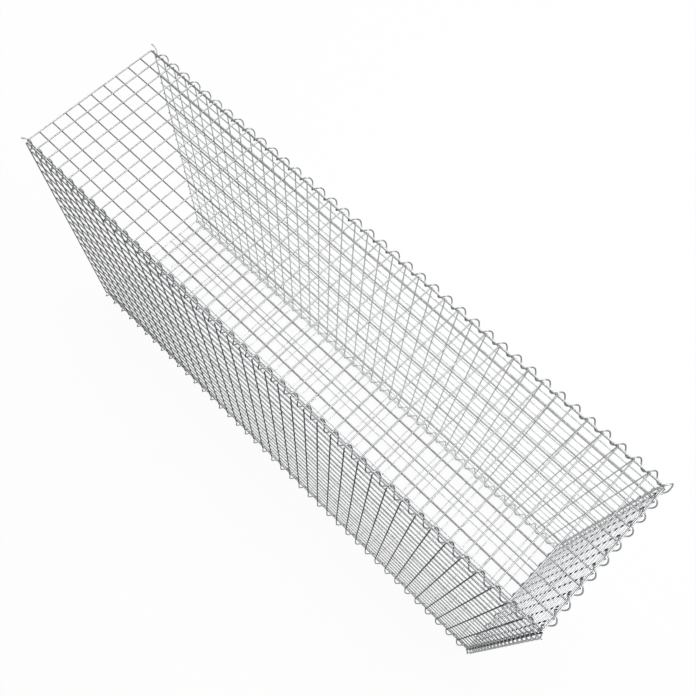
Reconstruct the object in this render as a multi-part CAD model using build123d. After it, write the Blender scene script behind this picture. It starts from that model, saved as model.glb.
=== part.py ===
from build123d import *
import math
import os

os.makedirs("parts", exist_ok=True)

# A welded mesh basket for a stone wall, 2.0 m long, 0.5 m deep and 1.0 m high.
# X runs along the wall, Y across it, Z up. The end at +X is closed, the end at -X is open.
# All sizes are in mm.

cell = 50.0             # pitch of the mesh, the same in both directions
cells_long = 40         # cells along the wall
cells_deep = 10         # cells across the wall
cells_high = 20         # cells up the wall
wire_d = 4.0            # mesh wire
weld_sink = 0.4         # how far two crossing wires are pressed into each other
edge_inset = 5.0        # from the corner line to the middle of a sheet's edge wire
overhang = 2.5          # how far the wires run on past the middle of the edge wire
bays_side = 4           # pieces that a long side is made in
bays_flat = 2           # pieces that the top and the bottom are made in
coil_wire_d = 4.0       # wire of the lacing coils
coil_d = 22.0           # lacing coil, middle of wire to middle of wire
coil_air = 0.5          # air between a coil and the edge wires that it laces
coil_steps = 8          # straight runs in one turn of a coil
long_tail = 25.0        # straight end of the top front coil, past the closed end
end_tail = 15.0         # straight end of the top end coil, past the back
upright_lead = 10.0     # from the level of a crossing wire down to an upright coil's outermost point
wire_sides = 8          # sides of a mesh wire's section
coil_sides = 6          # sides of a coil wire's section

length = cell * cells_long
depth = cell * cells_deep
height = cell * cells_high
layer = wire_d - weld_sink      # from the inner wires' plane to the outer wires' plane
wire_end = edge_inset - overhang


def stations(cells):
    """Places of the wires over a number of cells, with the two edge wires set in."""
    return [edge_inset] + [cell * i for i in range(1, cells)] + [cell * cells - edge_inset]


def bar(start, end):
    """A straight wire, with a flat of its section on each side that another wire crosses."""
    start, end = Vector(*start), Vector(*end)
    run = end - start
    side = Vector(0, 0, 1) if abs(run.Z) < 0.5 * run.length else Vector(1, 0, 0)
    plane = Plane(origin=start, x_dir=side, z_dir=run)
    section = RegularPolygon(wire_d / 2, wire_sides, major_radius=False)
    section = Rot(0, 0, 180 / wire_sides) * section
    return extrude(plane * section, run.length)


def sheet(cells_u, cells_v, first_u, last_u):
    """A stretch of flat mesh in its own plane: the wires along X lie at Z = 0, and the
    wires along Y lie on top of them at Z = layer. first_u and last_u say which wires
    along Y belong to the stretch; it is parted halfway between two of them."""
    across = stations(cells_u)
    along = stations(cells_v)
    x0 = wire_end if first_u == 0 else cell * (first_u - 0.5)
    x1 = cell * cells_u - wire_end if last_u == cells_u else cell * (last_u + 0.5)
    y0, y1 = wire_end, cell * cells_v - wire_end
    bars = [bar((x0, y, 0), (x1, y, 0)) for y in along]
    bars += [bar((x, y0, layer), (x, y1, layer)) for x in across[first_u:last_u + 1]]
    return bars[0].fuse(*bars[1:])


def bays(cells, count):
    """First and last cross wire of each of the pieces that a sheet is made in."""
    cuts = [round(cells * i / count) for i in range(count + 1)]
    firsts = [0] + [c + 1 for c in cuts[1:-1]]
    return list(zip(firsts, cuts[1:]))


def tube(points, radius, sides):
    """A wire with straight runs and mitred bends along a list of points."""
    pts = [Vector(*p) for p in points]
    dirs = [(b - a).normalized() for a, b in zip(pts, pts[1:])]
    start = Plane(origin=pts[0], z_dir=dirs[0])
    reach = radius / math.cos(math.pi / sides)
    ring = []
    for i in range(sides):
        a = 2 * math.pi * i / sides
        ring.append(start.from_local_coords(Vector(reach * math.cos(a), reach * math.sin(a), 0)))
    rings = [ring]
    for i, run in enumerate(dirs):
        cut = run if i == len(dirs) - 1 else (run + dirs[i + 1]).normalized()
        rings.append([p + run * ((pts[i + 1] - p).dot(cut) / run.dot(cut)) for p in rings[-1]])
    faces = [Face(Wire.make_polygon(rings[0])), Face(Wire.make_polygon(rings[-1]))]
    for a, b in zip(rings, rings[1:]):
        for i in range(sides):
            j = (i + 1) % sides
            faces.append(Face(Wire.make_polygon([a[i], a[j], b[j], b[i]])))
    return Solid(Shell(faces))


def seat(p, q, outward):
    """Where a coil's axis passes so that the coil just clears the two edge wires at p and q,
    which it pulls together. outward points away from the inside of the basket."""
    reach = coil_d / 2 - coil_wire_d / 2 - wire_d / 2 - coil_air
    p, q = Vector(*p), Vector(*q)
    apart = (q - p).length / 2
    away = Vector(-(q - p).Y, (q - p).X)
    away = away.normalized() * math.copysign(1, away.dot(Vector(*outward)))
    return (p + q) / 2 + away * math.sqrt(reach ** 2 - apart ** 2)


def coil(place, along, up, side, first, last, tail_start=0.0, tail_end=0.0):
    """A lacing coil with one turn to each cell. It is on the side that up points to at each
    whole turn, and on the side that side points to a quarter turn later."""
    along, up, side, place = Vector(*along), Vector(*up), Vector(*side), Vector(*place)
    steps = int(round((last - first) * coil_steps))
    reach = coil_d / 2 / math.cos(math.pi / coil_steps)
    points = []
    for i in range(steps + 1):
        turn = first + (i + 0.5) / coil_steps
        a = 2 * math.pi * turn
        points.append(place + along * (cell * turn) + up * (reach * math.cos(a))
                      + side * (reach * math.sin(a)))
    if tail_start:
        points.insert(0, points[0] - along * tail_start)
    if tail_end:
        points.append(points[-1] + along * tail_end)
    return tube([tuple(p) for p in points], coil_wire_d / 2, coil_sides)


parts = {}

# The five sheets. The wires across a sheet's length are always on its outside.
side_bays = {}
flat_bays = {}
for n, (first, last) in enumerate(bays(cells_long, bays_side), 1):
    piece = sheet(cells_long, cells_high, first, last)
    parts[f"front_mesh_{n}"] = Rot(90, 0, 0) * piece
    parts[f"back_mesh_{n}"] = Pos(0, depth, height) * (Rot(-90, 0, 0) * piece)
for n, (first, last) in enumerate(bays(cells_long, bays_flat), 1):
    piece = sheet(cells_long, cells_deep, first, last)
    parts[f"top_mesh_{n}"] = Pos(0, 0, height) * piece
    parts[f"bottom_mesh_{n}"] = Pos(0, depth, 0) * (Rot(180, 0, 0) * piece)
end = sheet(cells_deep, cells_high, 0, cells_deep)
parts["end_mesh"] = Pos(length, 0, 0) * (Rot(0, 0, 90) * (Rot(90, 0, 0) * end))

# Where the coils' axes pass, as (Y, Z) for the long edges, (X, Z) for the edges across the
# wall and (X, Y) for the upright edges.
s, w, n_long, n_deep, n_high = edge_inset, layer, cells_long, cells_deep, cells_high
y0, z1 = tuple(seat((s, height), (0, height - s), (-1, 1)))[:2]
y1 = depth - y0
z0 = height - z1
xe, ze1 = tuple(seat((length - s, height + w), (length, height - s), (1, 1)))[:2]
ze0 = height - ze1
xv, yv0 = tuple(seat((length - s, -w), (length + w, s), (1, -1)))[:2]
yv1 = depth - yv0

X, Y, Z = (1, 0, 0), (0, 1, 0), (0, 0, 1)
nX, nY, nZ = (-1, 0, 0), (0, -1, 0), (0, 0, -1)
q = 0.25
zv = height - upright_lead
parts["top_front_coil"] = coil((0, y0, z1), X, Z, Y, -q, n_long - q, 0, long_tail)
parts["top_back_coil"] = coil((0, y1, z1), X, Z, Y, -q, n_long + q)
parts["bottom_front_coil"] = coil((0, y0, z0), X, nZ, nY, 0, n_long + q)
parts["bottom_back_coil"] = coil((0, y1, z0), X, nZ, nY, 0, n_long - q)
parts["top_end_coil"] = coil((xe, 0, ze1), Y, Z, nX, 0, n_deep - q, 0, end_tail)
parts["bottom_end_coil"] = coil((xe, 0, ze0), Y, nZ, nX, 2 * q, n_deep - 2 * q)
parts["front_end_coil"] = coil((xv, yv0, zv), nZ, nY, nX, q, n_high - 2 * q)
parts["back_end_coil"] = coil((xv, yv1, zv), nZ, Y, nX, q, n_high - 2 * q)

# The origin is at the middle of the underside of the whole basket.
box = None
for piece in parts.values():
    b = piece.bounding_box()
    box = b if box is None else box.add(b)
shift = Pos(-(box.min.X + box.max.X) / 2, -(box.min.Y + box.max.Y) / 2, -box.min.Z)
print("lower front corner of the open end at", [round(v, 4) for v in shift.position])
for name, piece in parts.items():
    export_step(shift * piece, f"parts/{name}.step", write_pcurves=False)
    b = (shift * piece).bounding_box()
    print(name, [round(v, 2) for v in (*b.min, *b.max)])
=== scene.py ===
# %% [markdown]
# # A welded mesh basket for a stone wall
# The object is an empty basket of galvanised wire, 2.0 m long, 0.5 m deep and 1.0 m high. Five flat
# sheets of welded mesh meet at their edges, and eight spiral coils lace them together. The end at
# -X is open, ready for the next basket of the wall. The solid model is loaded first as a fixed
# frame, and everything here is in metres in that same frame, so no piece needs fitting by eye.

# %% Load the solid model
import math
import bpy
from mathutils import Euler, Matrix, Vector


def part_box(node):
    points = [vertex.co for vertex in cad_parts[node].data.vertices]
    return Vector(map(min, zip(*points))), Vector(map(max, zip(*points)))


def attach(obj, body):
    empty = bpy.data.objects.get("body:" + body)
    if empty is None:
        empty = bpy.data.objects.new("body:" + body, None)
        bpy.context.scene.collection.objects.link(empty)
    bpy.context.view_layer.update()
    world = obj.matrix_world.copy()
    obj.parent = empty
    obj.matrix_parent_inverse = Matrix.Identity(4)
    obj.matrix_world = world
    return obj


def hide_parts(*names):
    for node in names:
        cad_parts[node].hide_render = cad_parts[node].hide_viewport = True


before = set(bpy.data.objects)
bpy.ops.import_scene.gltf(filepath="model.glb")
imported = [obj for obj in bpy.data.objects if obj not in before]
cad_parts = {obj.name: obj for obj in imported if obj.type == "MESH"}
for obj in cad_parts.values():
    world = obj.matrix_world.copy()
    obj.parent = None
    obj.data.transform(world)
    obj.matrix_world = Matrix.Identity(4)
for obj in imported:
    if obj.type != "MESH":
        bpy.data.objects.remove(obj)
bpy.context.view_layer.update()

# %% [markdown]
# ## Sizes
# A mesh is known by its pitch and its wire. The edge wires of a sheet are set in a little from the
# corner line of the basket, so that the edge wires of two sheets lie side by side inside a coil.
# Where the corner line is, follows from the box of a piece of the solid model.

# %% Sizes of the mesh and the coils
CELL = 0.050            # pitch of the mesh
LONG, DEEP, HIGH = 40, 10, 20       # cells of the basket along, across and up
WIRE = 0.004            # thickness of every wire
LAYER = 0.0036          # from the inner wires' plane to the outer wires' plane
INSET = 0.005           # from the corner line to the middle of the edge wire
END = 0.0025            # from the corner line to the cut ends of the wires
COIL = 0.022            # a coil across, from middle of wire to middle of wire
COIL_AIR = 0.0005       # air between a coil and the edge wires inside it
SIDES = 12              # flat sides that stand for a round wire

low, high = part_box("front_mesh_1")
corner = Vector((low[0] - END, high[1] - WIRE / 2, low[2] - END))
size = Vector((LONG, DEEP, HIGH)) * CELL
length, depth, height = size
print("corner line at", [round(v, 5) for v in corner], "size", [round(v, 3) for v in size])

# %% [markdown]
# ## Helpers for node trees
# Geometry, shader and group trees are all built from nodes and links. Three short helpers keep that
# readable: one adds a node and fills or links its inputs, the others add a sum of numbers or of
# vectors. Each sum could be its own named node, but then a formula would no longer read as one.

# %% Helpers that add nodes
def put(tree, kind, inputs=None, **settings):
    """Adds a node. A socket given as an input is linked, any other value is written on it."""
    node = tree.nodes.new(kind)
    for key, value in settings.items():
        setattr(node, key, value)
    for key, value in (inputs or {}).items():
        if isinstance(value, bpy.types.NodeSocket):
            tree.links.new(value, node.inputs[key])
        else:
            node.inputs[key].default_value = value
    return node


def calc(tree, operation, *values):
    """A number worked out from one, two or three others."""
    return put(tree, "ShaderNodeMath", dict(enumerate(values)), operation=operation).outputs[0]


def vec(tree, operation, *values):
    """A vector worked out from two others, or from a vector and a factor."""
    inputs = dict(enumerate(values))
    if operation == "SCALE":
        inputs = {0: values[0], "Scale": values[1]}
    return put(tree, "ShaderNodeVectorMath", inputs, operation=operation).outputs["Vector"]


# %% [markdown]
# ## What every geometry tree does
# A tree starts with named inputs for its sizes. It places points, keeps values on them and joins
# parts, and it ends with the instances made real, because the export would drop them, and with a
# finish on its faces. These helpers say each of that once, so the trees below stay short.

# %% Helpers for geometry trees
def new_tree(name, inputs):
    """A geometry tree with named inputs, and the outputs of the node that brings them in."""
    tree = bpy.data.node_groups.new(name, "GeometryNodeTree")
    for label, kind in inputs.items():
        tree.interface.new_socket(label, in_out="INPUT", socket_type="NodeSocket" + kind)
    tree.interface.new_socket("Geometry", in_out="OUTPUT", socket_type="NodeSocketGeometry")
    return tree, tree.nodes.new("NodeGroupInput").outputs


def set_place(tree, geometry, place):
    """Puts every point of a geometry where a vector says."""
    return put(tree, "GeometryNodeSetPosition", {"Geometry": geometry, "Position": place}).outputs[0]


def note(tree, geometry, name, value, kind="FLOAT", domain="POINT"):
    """Keeps a value on a geometry under a name, to be read later."""
    return put(tree, "GeometryNodeStoreNamedAttribute",
               {"Geometry": geometry, "Name": name, "Value": value},
               data_type=kind, domain=domain).outputs[0]


def join(tree, *parts):
    """One geometry from several."""
    node = put(tree, "GeometryNodeJoinGeometry")
    for part in parts:
        tree.links.new(part, node.inputs[0])
    return node.outputs[0]


def close_tree(tree, geometry, finish, other=None, mark=None):
    """Ends a tree. Faces that carry a mark get the other finish."""
    smooth = put(tree, "GeometryNodeSetShadeSmooth", {"Geometry": geometry}).outputs[0]
    real = put(tree, "GeometryNodeRealizeInstances", {0: smooth}).outputs[0]
    done = put(tree, "GeometryNodeSetMaterial", {"Geometry": real, "Material": finish}).outputs[0]
    if other is not None:
        marked = put(tree, "GeometryNodeInputNamedAttribute", {"Name": mark},
                     data_type="BOOLEAN").outputs[0]
        done = put(tree, "GeometryNodeSetMaterial",
                   {"Geometry": done, "Selection": marked, "Material": other}).outputs[0]
    put(tree, "NodeGroupOutput", {0: done})


# %% [markdown]
# ## How a sheet is made
# On the real product straight wires are laid across each other and welded at every crossing. So
# the tree lays one wire, repeats it along a line of stations, and does the same the other way, one
# layer higher. Every station is the number of the wire times the pitch, held between the two inset
# edge wires, so one sum places them all. An array modifier could repeat a wire too, but it has no
# such inset. A wire is a curve, and two extra points just inside its ends carry the small chamfer
# that the cutter leaves.

# %% Wires laid side by side
SAME = 0.1      # whole numbers that differ by less than this are the same one


def stations(tree, number, cells, cell, margin):
    """Number times pitch, kept at least the margin away from both corner lines."""
    far = calc(tree, "SUBTRACT", calc(tree, "MULTIPLY", cells, cell), margin)
    near = calc(tree, "MAXIMUM", calc(tree, "MULTIPLY", number, cell), margin)
    return calc(tree, "MINIMUM", near, far)


def wire_curve(tree, cells, cell, end, chamfer):
    """One wire along X, with a point at each crossing and two close to each end."""
    last = calc(tree, "ADD", cells, 2.0)
    line = put(tree, "GeometryNodeMeshLine", {"Count": calc(tree, "ADD", last, 1.0)}).outputs[0]
    index = put(tree, "GeometryNodeInputIndex").outputs[0]
    margin = calc(tree, "ADD", end, chamfer)
    inner = stations(tree, calc(tree, "SUBTRACT", index, 1.0), cells, cell, margin)
    first = calc(tree, "COMPARE", index, 0.0, SAME)
    final = calc(tree, "COMPARE", index, last, SAME)
    nudge = calc(tree, "MULTIPLY", calc(tree, "SUBTRACT", final, first), chamfer)
    place = put(tree, "ShaderNodeCombineXYZ", {"X": calc(tree, "ADD", inner, nudge)}).outputs[0]
    return put(tree, "GeometryNodeMeshToCurve", {"Mesh": set_place(tree, line, place)}).outputs[0]


def repeat_across(tree, curve, cells, cell, inset):
    """The wire again at each station along Y."""
    line = put(tree, "GeometryNodeMeshLine", {"Count": calc(tree, "ADD", cells, 1.0)}).outputs[0]
    index = put(tree, "GeometryNodeInputIndex").outputs[0]
    place = put(tree, "ShaderNodeCombineXYZ", {"Y": stations(tree, index, cells, cell, inset)}).outputs[0]
    points = set_place(tree, line, place)
    copies = put(tree, "GeometryNodeInstanceOnPoints", {"Points": points, "Instance": curve}).outputs[0]
    return put(tree, "GeometryNodeRealizeInstances", {0: copies}).outputs[0]


def flat_wires(tree, s, width):
    """Both layers of wires as curves, the second one turned a quarter and one layer higher."""
    long_wire = wire_curve(tree, s["Cells long"], s["Cell"], s["End"], s["Chamfer"])
    long_wires = repeat_across(tree, long_wire, s["Cells wide"], s["Cell"], s["Inset"])
    short_wire = wire_curve(tree, s["Cells wide"], s["Cell"], s["End"], s["Chamfer"])
    short_wires = repeat_across(tree, short_wire, s["Cells long"], s["Cell"], s["Inset"])
    crosswise = put(tree, "GeometryNodeTransform",
                    {"Geometry": short_wires, "Rotation": (0, 0, math.pi / 2)}).outputs[0]
    lift = put(tree, "ShaderNodeCombineXYZ", {"X": width, "Z": s["Layer"]}).outputs[0]
    lifted = put(tree, "GeometryNodeTransform", {"Geometry": crosswise, "Translation": lift}).outputs[0]
    return join(tree, long_wires, lifted)


# %% [markdown]
# ## Round wire
# A curve becomes a wire when a ring is swept along it. The sheets and the coils share this step. It
# also notes how far along the wire and how far round it each point is, so that the finish can draw
# the lines that the drawing die leaves.

# %% A round section for any curve
CUT_THINNER = 0.26      # share of its thickness that a wire loses at its very end, by the chamfer
print("cut end of a wire:", round(WIRE * (1 - CUT_THINNER) * 1000, 2), "mm across")


def round_wire(tree, curve, wire, sides):
    """Gives curves a round section with closed, chamfered ends."""
    ends = put(tree, "GeometryNodeCurveEndpointSelection").outputs[0]
    thickness = calc(tree, "SUBTRACT", 1.0, calc(tree, "MULTIPLY", ends, CUT_THINNER))
    curve = note(tree, curve, "along", put(tree, "GeometryNodeSplineParameter").outputs["Length"])
    ring = put(tree, "GeometryNodeCurvePrimitiveCircle",
               {"Resolution": sides, "Radius": calc(tree, "MULTIPLY", wire, 0.5)}).outputs[0]
    ring = note(tree, ring, "around", put(tree, "GeometryNodeSplineParameter").outputs["Factor"])
    return put(tree, "GeometryNodeCurveToMesh",
               {"Curve": curve, "Profile Curve": ring, "Scale": thickness, "Fill Caps": True}).outputs[0]


# %% [markdown]
# ## Welds, and a sheet that isn't perfectly flat
# A weld on such mesh is a small collar where the two wires were pressed into each other. It is a
# flattened ball of a few dozen faces at each crossing, because thousands of finely modelled beads
# would cost more than they show. Long sheets also bow a little between the coils that hold their
# edges: one smooth push moves wires and welds together, so nothing parts.

# %% Bow and welds
BOW_WAVES = 2.2                     # unevenness of the bow, in waves to a metre
WELD_LEAST = (1.02, 1.02, 0.40)     # a weld as shares of the wire: across, across and high
WELD_MOST = (1.22, 1.22, 0.52)
print("weld across:", [round(WIRE * share[0] * 1000, 2) for share in (WELD_LEAST, WELD_MOST)], "mm")


def bow(tree, geometry, amount, width, depth):
    """Pushes a sheet inwards, most in its middle and not at all at its edges."""
    place = put(tree, "GeometryNodeInputPosition").outputs[0]
    axes = put(tree, "ShaderNodeSeparateXYZ", {0: place}).outputs
    wave_x = calc(tree, "SINE", calc(tree, "DIVIDE", calc(tree, "MULTIPLY", axes[0], math.pi), width))
    wave_y = calc(tree, "SINE", calc(tree, "DIVIDE", calc(tree, "MULTIPLY", axes[1], math.pi), depth))
    noise = put(tree, "ShaderNodeTexNoise",
                {"Vector": place, "Scale": BOW_WAVES, "Detail": 1.0}).outputs[0]
    most = calc(tree, "MULTIPLY", noise, amount)
    push = calc(tree, "MULTIPLY", calc(tree, "MULTIPLY", wave_x, wave_y), most)
    away = put(tree, "ShaderNodeCombineXYZ", {"Z": calc(tree, "MULTIPLY", push, -1.0)}).outputs[0]
    return put(tree, "GeometryNodeSetPosition", {"Geometry": geometry, "Offset": away}).outputs[0]


def weld_points(tree, s):
    """A point at every crossing, midway between the two layers."""
    columns = calc(tree, "ADD", s["Cells long"], 1.0)
    rows = calc(tree, "ADD", s["Cells wide"], 1.0)
    grid = put(tree, "GeometryNodeMeshGrid", {"Vertices X": columns, "Vertices Y": rows}).outputs[0]
    index = put(tree, "GeometryNodeInputIndex").outputs[0]
    column = calc(tree, "FLOOR", calc(tree, "DIVIDE", calc(tree, "ADD", index, 0.5), rows))
    row = calc(tree, "SUBTRACT", index, calc(tree, "MULTIPLY", column, rows))
    place = put(tree, "ShaderNodeCombineXYZ", {
        "X": stations(tree, column, s["Cells long"], s["Cell"], s["Inset"]),
        "Y": stations(tree, row, s["Cells wide"], s["Cell"], s["Inset"]),
        "Z": calc(tree, "MULTIPLY", s["Layer"], 0.5)}).outputs[0]
    return set_place(tree, grid, place)


def weld_collars(tree, s, width, depth):
    """A flattened ball at every crossing, no two quite alike."""
    ball = put(tree, "GeometryNodeMeshUVSphere", {
        "Segments": 8, "Rings": 4, "Radius": calc(tree, "MULTIPLY", s["Wire"], 0.5)}).outputs[0]
    ball = note(tree, ball, "weld", True, "BOOLEAN", "FACE")
    scale = put(tree, "FunctionNodeRandomValue", {0: WELD_LEAST, 1: WELD_MOST, "Seed": s["Seed"]},
                data_type="FLOAT_VECTOR").outputs[0]
    spots = bow(tree, weld_points(tree, s), s["Bow"], width, depth)
    return put(tree, "GeometryNodeInstanceOnPoints",
               {"Points": spots, "Instance": ball, "Scale": scale}).outputs[0]


# %% [markdown]
# ## One tree for all sheets
# The five sheets differ only in their number of cells and their zinc, so one tree makes them all.
# The wires are bowed while they are still curves and made round after that, so that their section
# stays round.

# %% The sheet tree
def make_sheet_tree():
    """Grows a flat welded sheet with its long wires in the plane and its short wires on top."""
    tree, s = new_tree("welded_sheet", {
        "Cells long": "Int", "Cells wide": "Int", "Cell": "Float", "Wire": "Float", "Layer": "Float",
        "Inset": "Float", "End": "Float", "Chamfer": "Float", "Bow": "Float", "Sides": "Int",
        "Seed": "Int", "Wire finish": "Material", "Weld finish": "Material"})
    width = calc(tree, "MULTIPLY", s["Cells long"], s["Cell"])
    depth = calc(tree, "MULTIPLY", s["Cells wide"], s["Cell"])
    curves = bow(tree, flat_wires(tree, s, width), s["Bow"], width, depth)
    wires = round_wire(tree, curves, s["Wire"], s["Sides"])
    welds = weld_collars(tree, s, width, depth)
    close_tree(tree, join(tree, wires, welds), s["Wire finish"], s["Weld finish"], "weld")
    return tree


sheet_tree = make_sheet_tree()
print("sheet tree:", len(sheet_tree.nodes), "nodes")

# %% [markdown]
# ## How a coil is made
# A lacing coil is screwed through the meshes of two sheets, one turn to a cell. A point on it goes
# round while it goes along. The tree counts turns, and works out each point from the turn: along the
# edge by the pitch, and round by cosine and sine of the angle. The fitter bends the free ends open
# with pliers, so towards an end the angle may fall behind by some lost turns while the coil widens.
# A curve drawn by hand would do for one coil, but the formula serves all eight.

# %% Points of a coil
def count_turns(tree, s):
    """A line of points, and at each the turn that it stands for, from the first to the last."""
    span = calc(tree, "SUBTRACT", s["Last"], s["First"])
    steps = calc(tree, "ROUND", calc(tree, "MULTIPLY", span, s["Steps"]))
    line = put(tree, "GeometryNodeMeshLine", {"Count": calc(tree, "ADD", steps, 1.0)}).outputs[0]
    index = put(tree, "GeometryNodeInputIndex").outputs[0]
    share = calc(tree, "DIVIDE", index, steps)
    return line, calc(tree, "ADD", s["First"], calc(tree, "MULTIPLY", share, span))


def bend_end(tree, bend, gone):
    """What a bent end does so many turns away from it: the turns lost, and the share of widening."""
    zone, lost, wide = put(tree, "ShaderNodeSeparateXYZ", {0: bend}).outputs
    near = calc(tree, "MAXIMUM", calc(tree, "SUBTRACT", 1.0, calc(tree, "DIVIDE", gone, zone)), 0.0)
    near = calc(tree, "MULTIPLY", near, near)
    return calc(tree, "MULTIPLY", near, lost), calc(tree, "MULTIPLY", near, wide)


def coil_place(tree, s, turn, wound, wider):
    """The point of a coil at a turn, from the angle wound up to there and the widening."""
    angle = calc(tree, "MULTIPLY", wound, 2 * math.pi)
    radius = calc(tree, "MULTIPLY", calc(tree, "MULTIPLY", s["Across"], 0.5), wider)
    steps = {"Along": calc(tree, "MULTIPLY", turn, s["Pitch"]),
             "Up": calc(tree, "MULTIPLY", radius, calc(tree, "COSINE", angle)),
             "Side": calc(tree, "MULTIPLY", radius, calc(tree, "SINE", angle))}
    place = s["Place"]
    for way, far in steps.items():
        place = vec(tree, "ADD", place, vec(tree, "SCALE", s[way], far))
    return place


# %% The coil tree
def make_coil_tree():
    """Grows a coil of round wire along an edge."""
    tree, s = new_tree("lacing_coil", {
        "First": "Float", "Last": "Float", "Pitch": "Float", "Across": "Float", "Wire": "Float",
        "Steps": "Int", "Sides": "Int", "Place": "Vector", "Along": "Vector", "Up": "Vector",
        "Side": "Vector", "Bend first": "Vector", "Bend last": "Vector", "Finish": "Material"})
    line, turn = count_turns(tree, s)
    lost_first, wide_first = bend_end(tree, s["Bend first"], calc(tree, "SUBTRACT", turn, s["First"]))
    lost_last, wide_last = bend_end(tree, s["Bend last"], calc(tree, "SUBTRACT", s["Last"], turn))
    wound = calc(tree, "SUBTRACT", calc(tree, "ADD", turn, lost_first), lost_last)
    wider = calc(tree, "ADD", calc(tree, "ADD", 1.0, wide_first), wide_last)
    points = set_place(tree, line, coil_place(tree, s, turn, wound, wider))
    curve = put(tree, "GeometryNodeMeshToCurve", {"Mesh": points}).outputs[0]
    close_tree(tree, round_wire(tree, curve, s["Wire"], s["Sides"]), s["Finish"])
    return tree


coil_tree = make_coil_tree()
print("coil tree:", len(coil_tree.nodes), "nodes")

# %% [markdown]
# ## Galvanised wire
# Zinc on drawn wire is a dull, slightly blue grey metal. It is never even: the coat has cloudy
# patches and a fine spangle, and the drawing die leaves lines along the wire. Each of these effects
# is a small group of shader nodes, so that all the wire finishes and the welds can share them with
# their own values. A picture of real zinc could be wrapped round the wires instead, but it would
# show its seams on thousands of them.

# %% Shader groups
def new_group(name, inputs, outputs):
    """A shader group with named inputs that hold starting values, and named outputs."""
    tree = bpy.data.node_groups.new(name, "ShaderNodeTree")
    for label, value in inputs.items():
        kind = "NodeSocketVector" if value is None else "NodeSocketFloat"
        socket = tree.interface.new_socket(label, in_out="INPUT", socket_type=kind)
        if value is not None:
            socket.default_value = value
    for label in outputs:
        tree.interface.new_socket(label, in_out="OUTPUT", socket_type="NodeSocketFloat")
    return tree, tree.nodes.new("NodeGroupInput").outputs


def make_cloud_group():
    """Cloudy patches of the zinc coat, from small spangle to hand-sized."""
    tree, s = new_group("zinc_clouds",
                        {"Place": None, "Patch": 18.0, "Spangle": 420.0, "Mix": 0.45}, ["Cloud"])
    patch = put(tree, "ShaderNodeTexNoise",
                {"Vector": s["Place"], "Scale": s["Patch"], "Detail": 3.0}).outputs[0]
    cells = put(tree, "ShaderNodeTexVoronoi", {"Vector": s["Place"], "Scale": s["Spangle"]}, feature="F1")
    grain = put(tree, "ShaderNodeSeparateColor", {0: cells.outputs["Color"]}).outputs[0]
    blend = put(tree, "ShaderNodeMix", {"Factor": s["Mix"], "A": patch, "B": grain}, data_type="FLOAT")
    put(tree, "NodeGroupOutput", {"Cloud": blend.outputs[0]})
    return tree


def make_line_group():
    """Fine lines that a drawing die leaves along a wire, from the length and the turn round it."""
    tree, s = new_group("drawing_lines", {"Stretch": 9.0, "Count": 26.0}, ["Line"])
    along = put(tree, "ShaderNodeAttribute", attribute_name="along").outputs["Fac"]
    around = put(tree, "ShaderNodeAttribute", attribute_name="around").outputs["Fac"]
    place = put(tree, "ShaderNodeCombineXYZ", {
        "X": calc(tree, "MULTIPLY", along, s["Stretch"]),
        "Y": calc(tree, "MULTIPLY", around, s["Count"])}).outputs[0]
    lines = put(tree, "ShaderNodeTexNoise", {"Vector": place, "Scale": 1.0, "Detail": 2.0}).outputs[0]
    put(tree, "NodeGroupOutput", {"Line": lines})
    return tree


cloud_group = make_cloud_group()
line_group = make_line_group()
print("shader groups:", cloud_group.name, line_group.name)

# %% [markdown]
# ## The finishes
# A metal's colour is its reflection, so the patches change the base colour and the roughness
# together: a bright patch of zinc is also a smoother one. The lines and the spangle stand up a
# little as well, through a bump far lower than the wire is thick. All five sheets are one zinc. The
# back and the bottom keep it bright, and the top, the front and the end get copies of it that are
# darkened by painted shade: the top the most, the front and the end a little less. So one recipe
# makes four zincs for the sheets, one for the coils and one for the welds. The edge value is the
# tint of a metal seen at a glance: below 1 it darkens a wire that is looked along, so the uprights
# nearest to the camera are almost black. One colour for all would be simpler, but then the sheets
# would not read apart.

# %% Finishes of the wires and the welds
DARKEST, BRIGHTEST = 0.3, 0.72      # values of the mixed patches where the zinc is at its ends
LINE_SHARE = 0.25                   # how much the lines count against the patches


def ramp(tree, value, stops):
    """A colour ramp from (position, colour) pairs."""
    node = put(tree, "ShaderNodeValToRGB", {0: value})
    for element, (position, colour) in zip(node.color_ramp.elements, stops):
        element.position = position
        element.color = (*colour, 1.0)
    return node.outputs[0]


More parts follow.
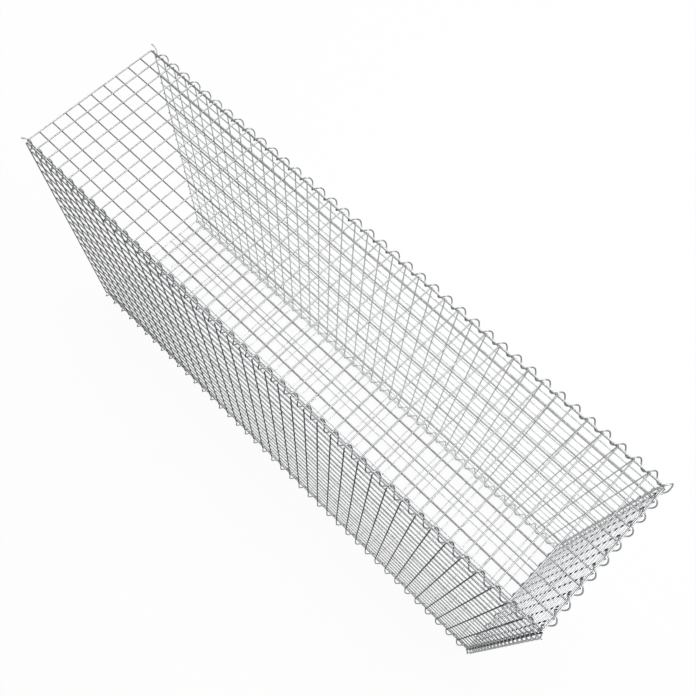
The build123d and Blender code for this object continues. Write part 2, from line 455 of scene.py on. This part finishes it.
def make_zinc(name, dark, bright, rough_dark, rough_bright, edge, bump=0.00003, patch=16.0):
    """Zinc between a dark and a bright grey, with bump in metres and patch in patches to a metre."""
    material = bpy.data.materials.new(name)
    material.use_nodes = True
    tree = material.node_tree
    shader = tree.nodes["Principled BSDF"]
    place = put(tree, "ShaderNodeTexCoord").outputs["Object"]
    cloud = put(tree, "ShaderNodeGroup", node_tree=cloud_group)
    tree.links.new(place, cloud.inputs["Place"])
    cloud.inputs["Patch"].default_value = patch
    lines = put(tree, "ShaderNodeGroup", node_tree=line_group).outputs[0]
    mixed = put(tree, "ShaderNodeMix", {"Factor": LINE_SHARE, "A": cloud.outputs[0], "B": lines},
                data_type="FLOAT").outputs[0]
    colour = ramp(tree, mixed, [(DARKEST, dark), (BRIGHTEST, bright)])
    rough = put(tree, "ShaderNodeMapRange", {
        "Value": mixed, "From Min": DARKEST, "From Max": BRIGHTEST,
        "To Min": rough_dark, "To Max": rough_bright}).outputs[0]
    relief = calc(tree, "ADD", lines, calc(tree, "MULTIPLY", cloud.outputs[0], 0.5))
    normal = put(tree, "ShaderNodeBump", {"Height": relief, "Strength": 1.0, "Distance": bump}).outputs[0]
    for socket, value in (("Base Color", colour), ("Roughness", rough), ("Normal", normal)):
        tree.links.new(value, shader.inputs[socket])
    shader.inputs["Metallic"].default_value = 1.0
    shader.inputs["Specular Tint"].default_value = (edge, edge, edge, 1.0)
    print(f"{name}: grey from {dark[1]} to {bright[1]}, roughness {rough_bright} to {rough_dark}")
    return material


# The top, front and end zincs are the bright zinc darkened by painted shade, the top the most.
top_zinc_painted_shade = make_zinc("top_zinc_painted_shade", dark=(0.155, 0.161, 0.166), bright=(0.28, 0.289, 0.294),
                      rough_dark=0.24, rough_bright=0.12, edge=0.30)
front_zinc_painted_shade = make_zinc("front_zinc_painted_shade", dark=(0.165, 0.172, 0.177), bright=(0.295, 0.304, 0.31),
                       rough_dark=0.22, rough_bright=0.11, edge=0.25)
end_zinc_painted_shade = make_zinc("end_zinc_painted_shade", dark=(0.29, 0.298, 0.304), bright=(0.455, 0.465, 0.472),
                        rough_dark=0.24, rough_bright=0.12, edge=0.05)
bright_zinc = make_zinc("bright_zinc", dark=(0.365, 0.378, 0.386), bright=(0.525, 0.54, 0.549),
                        rough_dark=0.30, rough_bright=0.16, edge=1.0)
coil_zinc = make_zinc("coil_zinc", dark=(0.235, 0.245, 0.251), bright=(0.41, 0.423, 0.43),
                      rough_dark=0.18, rough_bright=0.10, edge=0.0, bump=0.00004, patch=40.0)
weld_zinc = make_zinc("weld_zinc", dark=(0.20, 0.205, 0.21), bright=(0.36, 0.37, 0.375),
                      rough_dark=0.60, rough_bright=0.42, edge=0.3, bump=0.0001, patch=60.0)

# %% [markdown]
# ## Turning a tree into a piece
# A tree runs as a modifier on an empty mesh. Its inputs are set through the sockets' identifiers.
# The result is then copied into a plain mesh and the modifier goes, so that the finished piece is
# nothing but faces, with its place in its mesh.

# %% Making a piece from a tree
SHARP = math.radians(44)    # an edge that turns by more than this stays crisp


def grow(name, tree, values, matrix=None):
    """A plain mesh object grown from a tree, moved to its place by a matrix."""
    grower = bpy.data.objects.new(name + "_grower", bpy.data.meshes.new(name + "_seed"))
    bpy.context.collection.objects.link(grower)
    modifier = grower.modifiers.new("grow", "NODES")
    modifier.node_group = tree
    for socket in tree.interface.items_tree:
        if socket.in_out == "INPUT":
            modifier[socket.identifier] = values[socket.name]
    depsgraph = bpy.context.evaluated_depsgraph_get()
    mesh = bpy.data.meshes.new_from_object(grower.evaluated_get(depsgraph))
    bpy.data.objects.remove(grower)
    if matrix is not None:
        mesh.transform(matrix)
    mesh.set_sharp_from_angle(angle=SHARP)
    mesh.name = name
    piece = bpy.data.objects.new(name, mesh)
    bpy.context.collection.objects.link(piece)
    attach(piece, "root")
    triangles = sum(len(face.vertices) - 2 for face in mesh.polygons)
    print(f"{name}: {len(mesh.polygons)} faces, {triangles} triangles")
    return piece


# %% [markdown]
# ## The five sheets
# A sheet is grown lying flat, its outer wires on top. The front is tipped up from its lower edge,
# the back hangs down from its upper edge, the bottom is turned over, and the end sheet is tipped up
# and swung round to the closed end. Each could be built upright where it stands, but then it would
# need a tree of its own. The real sheets come in one piece each, so one piece stands for all the
# parts of a sheet in the solid model. The seed gives every sheet its own welds.

# %% Sheets
SHEET = {"Cell": CELL, "Wire": WIRE, "Layer": LAYER, "Inset": INSET, "End": END, "Chamfer": 0.0005,
         "Bow": 0.0012, "Sides": SIDES, "Weld finish": weld_zinc}


def turned(axis, degrees):
    """A turn about an axis through the origin."""
    return Matrix.Rotation(math.radians(degrees), 4, axis)


def at(x, y, z):
    """A move to a place that is measured from the corner line."""
    return Matrix.Translation(corner + Vector((x, y, z)))


def solid_parts(side, count):
    """The names of the parts that a sheet has in the solid model."""
    return [f"{side}_mesh_{number}" for number in range(1, count + 1)]


# The top, the front and the end take zinc darkened by painted shade; the back and the bottom keep the
# bright zinc.
plans = {
    "front_sheet": (LONG, HIGH, at(0, 0, 0) @ turned("X", 90), front_zinc_painted_shade, solid_parts("front", 4)),
    "back_sheet": (LONG, HIGH, at(0, depth, height) @ turned("X", -90), bright_zinc,
                   solid_parts("back", 4)),
    "top_sheet": (LONG, DEEP, at(0, 0, height), top_zinc_painted_shade, solid_parts("top", 2)),
    "bottom_sheet": (LONG, DEEP, at(0, depth, 0) @ turned("X", 180), bright_zinc,
                     solid_parts("bottom", 2)),
    "end_sheet": (DEEP, HIGH, at(length, 0, 0) @ turned("Z", 90) @ turned("X", 90), end_zinc_painted_shade,
                  ["end_mesh"]),
}
for seed, (name, (cells_long, cells_wide, matrix, finish, nodes)) in enumerate(plans.items(), start=3):
    piece = grow(name, sheet_tree, {**SHEET, "Cells long": cells_long, "Cells wide": cells_wide,
                                    "Seed": seed, "Wire finish": finish}, matrix)
    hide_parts(*nodes)

# %% [markdown]
# ## The eight coils
# A coil hugs the two edge wires inside it, so its axis lies off the corner line: as far from both
# wires as the inside of the coil allows, on the outer side. That place is the top of a triangle with
# the two edge wires as its base. At every crossing wire the coil is on the outside of the sheet.

# %% Where the coils' axes pass
def seat(p, q, outward):
    """The point as far from p and q as the coil's inside allows, on the outward side."""
    reach = COIL / 2 - WIRE - COIL_AIR
    p, q = Vector(p), Vector(q)
    half = (q - p).length / 2
    away = Vector((-(q - p).y, (q - p).x)).normalized()
    if away.dot(Vector(outward)) < 0:
        away.negate()
    return (p + q) / 2 + away * math.sqrt(reach ** 2 - half ** 2)


y0, z1 = seat((INSET, height), (0, height - INSET), (-1, 1))
xe, ze1 = seat((length - INSET, height + LAYER), (length, height - INSET), (1, 1))
xv, yv0 = seat((length - INSET, -LAYER), (length + LAYER, INSET), (1, -1))
y1, z0, ze0, yv1 = depth - y0, height - z1, height - ze1, depth - yv0
print("coil axes:", [round(v * 1000, 2) for v in (y0, z0, xe, ze0, xv, yv0)], "mm from the corner line")

# %% [markdown]
# Each coil is written as the point of its axis where its turns are counted from, which way it runs,
# which way is up at a whole turn and where it is a quarter of a turn later, and from which turn to
# which it goes. Five ends are bent open: over how many turns, how much of a turn is lost there, and
# the share of widening. Most coils have a zinc of their own, and three take the zinc of a sheet that
# they lace, so that they are as bright as that sheet: two the bright zinc, and one the end's copy,
# darkened by painted shade.

# %% Coils
STEPS = 24      # points of a coil to one turn
DROP = 0.010    # how far below the top corner line the turns of the upright coils are counted from
X, Y, Z = Vector((1, 0, 0)), Vector((0, 1, 0)), Vector((0, 0, 1))
COILS = {
    "top_front_coil": ((0, y0, z1), X, Z, Y, -0.193, LONG + 0.204),
    "top_back_coil": ((0, y1, z1), X, Z, Y, -0.197, LONG + 0.159),
    "bottom_front_coil": ((0, y0, z0), X, -Z, -Y, 0.06, LONG + 0.16),
    "bottom_back_coil": ((0, y1, z0), X, -Z, -Y, 0.06, LONG - 0.19),
    "top_end_coil": ((xe, 0, ze1), Y, Z, -X, 0.06, DEEP + 0.253),
    "bottom_end_coil": ((xe, 0, ze0), Y, -Z, -X, 0.56, DEEP - 0.44),
    "front_end_coil": ((xv, yv0, height - DROP), -Z, -Y, -X, 0.31, HIGH - 0.44),
    "back_end_coil": ((xv, yv1, height - DROP), -Z, Y, -X, 0.31, HIGH - 0.44),
}
PLAIN = (1.0, 0.0, 0.0)
BENT_FIRST = {"top_front_coil": (0.282, 0.141, -0.13), "top_back_coil": (1.289, 0.304, 0.04)}
BENT_LAST = {"top_front_coil": (1.198, 0.400, 0.0), "top_back_coil": (0.200, 0.022, 0.35),
             "top_end_coil": (1.094, 0.388, -0.04)}
# The front end coil takes the end's zinc, darkened by painted shade.
COIL_FINISH = {"bottom_back_coil": bright_zinc, "back_end_coil": bright_zinc,
               "front_end_coil": end_zinc_painted_shade}

for name, (place, along, up, side, first, last) in COILS.items():
    piece = grow(name + "_round", coil_tree, {
        "First": first, "Last": last, "Pitch": CELL, "Across": COIL, "Wire": WIRE, "Steps": STEPS,
        "Sides": SIDES, "Place": corner + Vector(place), "Along": along, "Up": up, "Side": side,
        "Bend first": BENT_FIRST.get(name, PLAIN), "Bend last": BENT_LAST.get(name, PLAIN),
        "Finish": COIL_FINISH.get(name, coil_zinc)})
    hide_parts(name)

# %% [markdown]
# ## The floor
# The photograph is a studio shot on white, taken from well above one corner. The floor is a plain
# pale sheet that keeps a faint shadow. Light Path lets rays that come from the camera, from gloss or
# through glass see it nearly white, while its light on the basket stays that of a pale floor. Away
# from the basket it grows quite white, so that no horizon shows in low views.

# %% Floor
FLOOR_HALF = 30.0                   # half of the floor's side
FLOOR_GREY = 0.9                    # how much light the floor sends back to the basket
WHITE_NEAR, WHITE_FAR = 0.93, 1.0   # how white it is seen, near the basket and away from it
FADE_FROM, FADE_TO = 1.5, 3.5       # where the near white ends and the far white begins


def seen_share(tree):
    """1 for rays from the camera, from gloss or through glass, and 0 for the light on things."""
    rays = put(tree, "ShaderNodeLightPath").outputs
    mirrored = calc(tree, "MAXIMUM", rays["Is Glossy Ray"], rays["Is Transmission Ray"])
    return calc(tree, "MAXIMUM", rays["Is Camera Ray"], mirrored)


def make_floor_finish():
    """A dull pale surface for the light, nearly white where it is seen."""
    material = bpy.data.materials.new("studio_floor")
    material.use_nodes = True
    tree = material.node_tree
    shader = tree.nodes["Principled BSDF"]
    shader.inputs["Base Color"].default_value = (FLOOR_GREY, FLOOR_GREY, FLOOR_GREY, 1)
    shader.inputs["Roughness"].default_value = 1.0
    shader.inputs["Specular IOR Level"].default_value = 0.0
    place = put(tree, "ShaderNodeTexCoord").outputs["Object"]
    away = put(tree, "ShaderNodeVectorMath", {0: place}, operation="LENGTH").outputs["Value"]
    whiteness = put(tree, "ShaderNodeMapRange", {
        "Value": away, "From Min": FADE_FROM, "From Max": FADE_TO,
        "To Min": WHITE_NEAR, "To Max": WHITE_FAR}).outputs[0]
    white = put(tree, "ShaderNodeEmission", {"Color": (1, 1, 1, 1), "Strength": 1.0}).outputs[0]
    share = calc(tree, "MULTIPLY", seen_share(tree), whiteness)
    surface = put(tree, "ShaderNodeMixShader", {0: share, 1: shader.outputs[0], 2: white}).outputs[0]
    tree.links.new(surface, tree.nodes["Material Output"].inputs["Surface"])
    return material


def make_floor():
    """One large square, which is staging and no part of the basket."""
    mesh = bpy.data.meshes.new("floor")
    r = FLOOR_HALF
    mesh.from_pydata([(-r, -r, 0), (r, -r, 0), (r, r, 0), (-r, r, 0)], [], [(0, 1, 2, 3)])
    mesh.materials.append(make_floor_finish())
    floor = bpy.data.objects.new("floor", mesh)
    bpy.context.collection.objects.link(floor)
    return floor


floor = make_floor()
print("floor:", floor.name, "of", 2 * FLOOR_HALF, "m, finish", floor.data.materials[0].name)

# %% [markdown]
# ## Light
# One long soft lamp hangs high above the basket and a little behind it. Round wire mirrors a lamp
# as a bright line down its middle, as wide as the lamp is broad across the wire. So the wires that
# run across the basket get a bright core, and the long wires a thin one near the closed end only, as
# in the photograph. A small lamp would leave hard sparks instead. The world fills in from all sides:
# white where it is seen, and less than half of that as light, so that the zinc keeps its own grey.

# %% Lamp and world
WORLD_LIGHT = 0.4       # the world as light on things, where 1 is white


def hang_lamp(name, place, aim, size, power):
    """A soft rectangular lamp at a place, turned to what it aims at."""
    data = bpy.data.lights.new(name, "AREA")
    data.shape = "RECTANGLE"
    data.size, data.size_y = size
    data.energy = power
    lamp = bpy.data.objects.new(name, data)
    lamp.location = place
    lamp.rotation_euler = (Vector(aim) - Vector(place)).to_track_quat("-Z", "Y").to_euler()
    bpy.context.collection.objects.link(lamp)
    return lamp


def light_world():
    """A white world, whose light on things is weaker than it looks."""
    world = bpy.context.scene.world or bpy.data.worlds.new("World")
    bpy.context.scene.world = world
    world.use_nodes = True
    tree = world.node_tree
    extra = calc(tree, "MULTIPLY", seen_share(tree), 1 - WORLD_LIGHT)
    background = tree.nodes["Background"]
    background.inputs["Color"].default_value = (1, 1, 1, 1)
    tree.links.new(calc(tree, "ADD", WORLD_LIGHT, extra), background.inputs["Strength"])


lamp = hang_lamp("overhead", place=(0.4, 1.15, 4.6), aim=(0.4, 0.95, 0.5), size=(5.0, 2.1), power=178)
light_world()
print("lamp:", lamp.name, "of", lamp.data.energy, "W; world at", WORLD_LIGHT)

# %% [markdown]
# ## Camera
# The camera hangs high above the front corner of the closed end, a little in front of it, and looks
# down along the basket. Its place, turn, lens and shift were worked out from the corners of the
# basket in the photograph, so that the crossings of the mesh land where they are there. Set by eye,
# it would bring the corners close, but not the forty cells between them.

# %% Camera
CAMERA_PLACE = (0.704034, -0.706915, 3.014395)
CAMERA_TURN = (21.69866, -0.11103, 44.96451)    # degrees about X, Y and Z
LENS, SENSOR = 41.4334, 36.0                    # in millimetres
SHIFT = (0.04064, 0.02684)                      # shares of the picture's width

camera_data = bpy.data.cameras.new("camera")
camera_data.sensor_width = SENSOR
camera_data.lens = LENS
camera_data.shift_x, camera_data.shift_y = SHIFT
camera = bpy.data.objects.new("camera", camera_data)
turn = Euler([math.radians(angle) for angle in CAMERA_TURN])
camera.matrix_world = Matrix.LocRotScale(Vector(CAMERA_PLACE), turn, None)
bpy.context.collection.objects.link(camera)
bpy.context.scene.camera = camera
bpy.context.scene.view_settings.view_transform = "Standard"
print("camera at", CAMERA_PLACE, "with a lens of", LENS, "mm")
